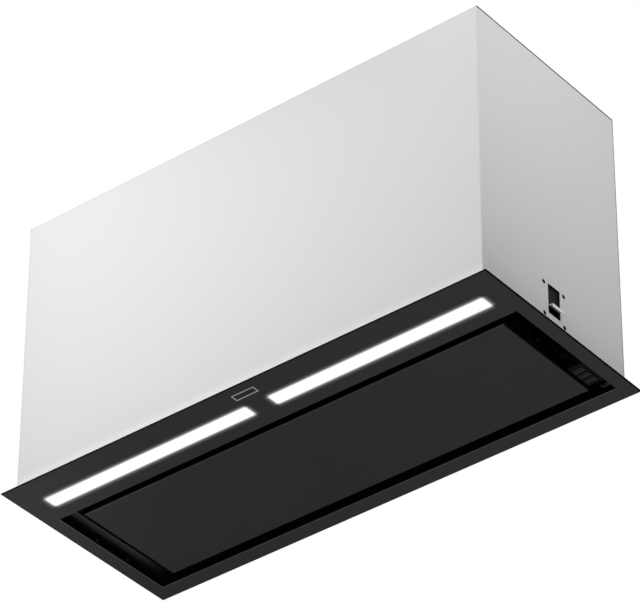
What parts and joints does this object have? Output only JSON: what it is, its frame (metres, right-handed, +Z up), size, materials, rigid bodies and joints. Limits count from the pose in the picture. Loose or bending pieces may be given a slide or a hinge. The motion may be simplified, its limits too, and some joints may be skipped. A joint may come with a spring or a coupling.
{
  "type": "integrated range hood",
  "caption": "Slim built-in kitchen hood: charcoal flange with light strips and a hinged suction panel below a tall grey casing with blower and duct collar.",
  "frame": {"origin": "centre of the flange's underside", "axes": "+Z up to the duct collar, +X to the right along the flange's long side, light strips on the -Y side"},
  "size_m": [0.7, 0.29, 0.4335],
  "materials": {
    "flange_black": "matt fine-grained charcoal coating",
    "casing_sheet": "smooth pale grey coated sheet",
    "black_sheet": "matt black coated sheet",
    "zinc_sheet": "zinc-plated sheet",
    "aluminium": "natural aluminium",
    "diffuser": "opal white",
    "board": "white board",
    "rubber": "black",
    "magnet": "dark housing",
    "filter_black": "dark grey coated aluminium",
    "latch": "dark grey",
    "scroll": "pale grey moulding",
    "impeller": "dark grey moulding",
    "motor": "grey",
    "bright_steel": "bright",
    "collar": "black moulding",
    "flap": "dark grey moulding",
    "box_plastic": "pale moulding",
    "capacitor": "pale can",
    "pod": "black, fine texture",
    "key": "black satin",
    "receiver": "black, smooth",
    "holder": "black moulding",
    "spring_steel": "bright spring steel"
  },
  "bodies": {
    "casing": {"bottom_frame": "flange_black", "front_wall": "casing_sheet", "rear_wall": "casing_sheet", "left_wall": "casing_sheet", "right_wall": "casing_sheet", "top_cover": "casing_sheet", "front_baffle": "black_sheet", "rear_baffle": "black_sheet", "left_air_guide": "black_sheet", "right_air_guide": "black_sheet", "lip_rivets": "black_sheet", "filter_plate": "zinc_sheet", "led_diffuser_left": "diffuser", "led_diffuser_right": "diffuser", "led_channel_left": "aluminium", "led_channel_right": "aluminium", "led_boards": "board", "hinge_bracket_left": "zinc_sheet", "hinge_bracket_right": "zinc_sheet", "hinge_pins": "bright_steel", "catch_magnets": "magnet", "filter_frame_left": "filter_black", "filter_frame_right": "filter_black", "filter_mesh_left": "filter_black", "filter_mesh_right": "filter_black", "blower_scroll_left": "scroll", "blower_scroll_right": "scroll", "motor": "motor", "motor_bracket": "zinc_sheet", "motor_bushes": "rubber", "blower_bracket": "zinc_sheet", "outlet_adaptor": "scroll", "duct_collar": "collar", "damper_spindle": "bright_steel", "control_box": "box_plastic", "control_box_lid": "box_plastic", "motor_capacitor": "capacitor", "cable_gland": "collar", "control_pod": "pod", "remote_receiver": "receiver", "clip_holder_left": "holder", "clip_holder_right": "holder", "cover_screws": "bright_steel", "collar_screws": "bright_steel"},
    "panel": {"suction_panel": "flange_black", "panel_backing": "black_sheet", "hinge_arm_left": "zinc_sheet", "hinge_arm_right": "zinc_sheet"},
    "fan": {"impeller": "impeller", "motor_shaft": "bright_steel"},
    "damper_front": {"damper_flap_front": "flap"},
    "damper_rear": {"damper_flap_rear": "flap"},
    "button_front": {"button_front": "key"},
    "button_middle": {"button_middle": "key"},
    "button_rear": {"button_rear": "key"},
    "clip_left": {"side_clip_left": "spring_steel"},
    "clip_right": {"side_clip_right": "spring_steel"},
    "latch_left": {"filter_latch_left": "latch"},
    "latch_right": {"filter_latch_right": "latch"}
  },
  "joints": [
    {"name": "panel_hinge", "type": "hinge", "parent": "casing", "child": "panel", "pos_m": [0, 0.1, 0.02], "axis": [1, 0, 0], "range_deg": [0, 90]},
    {"name": "fan_spin", "type": "hinge", "parent": "casing", "child": "fan", "pos_m": [0, -0.006, 0.2], "axis": [1, 0, 0], "continuous": true},
    {"name": "damper_front_hinge", "type": "hinge", "parent": "casing", "child": "damper_front", "pos_m": [0, 0.033, 0.3964], "axis": [-1, 0, 0], "range_deg": [0, 80]},
    {"name": "damper_rear_hinge", "type": "hinge", "parent": "casing", "child": "damper_rear", "pos_m": [0, 0.033, 0.3964], "axis": [1, 0, 0], "range_deg": [0, 80]},
    {"name": "button_front_press", "type": "slide", "parent": "casing", "child": "button_front", "axis": [0, 0, 1], "range_m": [0, 0.0015], "stiffness_N_per_m": 400},
    {"name": "button_middle_press", "type": "slide", "parent": "casing", "child": "button_middle", "axis": [0, 0, 1], "range_m": [0, 0.0015], "stiffness_N_per_m": 400},
    {"name": "button_rear_press", "type": "slide", "parent": "casing", "child": "button_rear", "axis": [0, 0, 1], "range_m": [0, 0.0015], "stiffness_N_per_m": 400},
    {"name": "clip_left_flex", "type": "hinge", "parent": "casing", "child": "clip_left", "pos_m": [-0.3294, 0, 0.062], "axis": [0, -1, 0], "range_deg": [0, 9.5], "stiffness_Nm_per_rad": 1},
    {"name": "clip_right_flex", "type": "hinge", "parent": "casing", "child": "clip_right", "pos_m": [0.3294, 0, 0.062], "axis": [0, 1, 0], "range_deg": [0, 9.5], "stiffness_Nm_per_rad": 1},
    {"name": "filter_latch_left_slide", "type": "slide", "parent": "casing", "child": "latch_left", "axis": [0, 1, 0], "range_m": [0, 0.005], "stiffness_N_per_m": 200},
    {"name": "filter_latch_right_slide", "type": "slide", "parent": "casing", "child": "latch_right", "axis": [0, 1, 0], "range_m": [0, 0.005], "stiffness_N_per_m": 200}
  ]
}
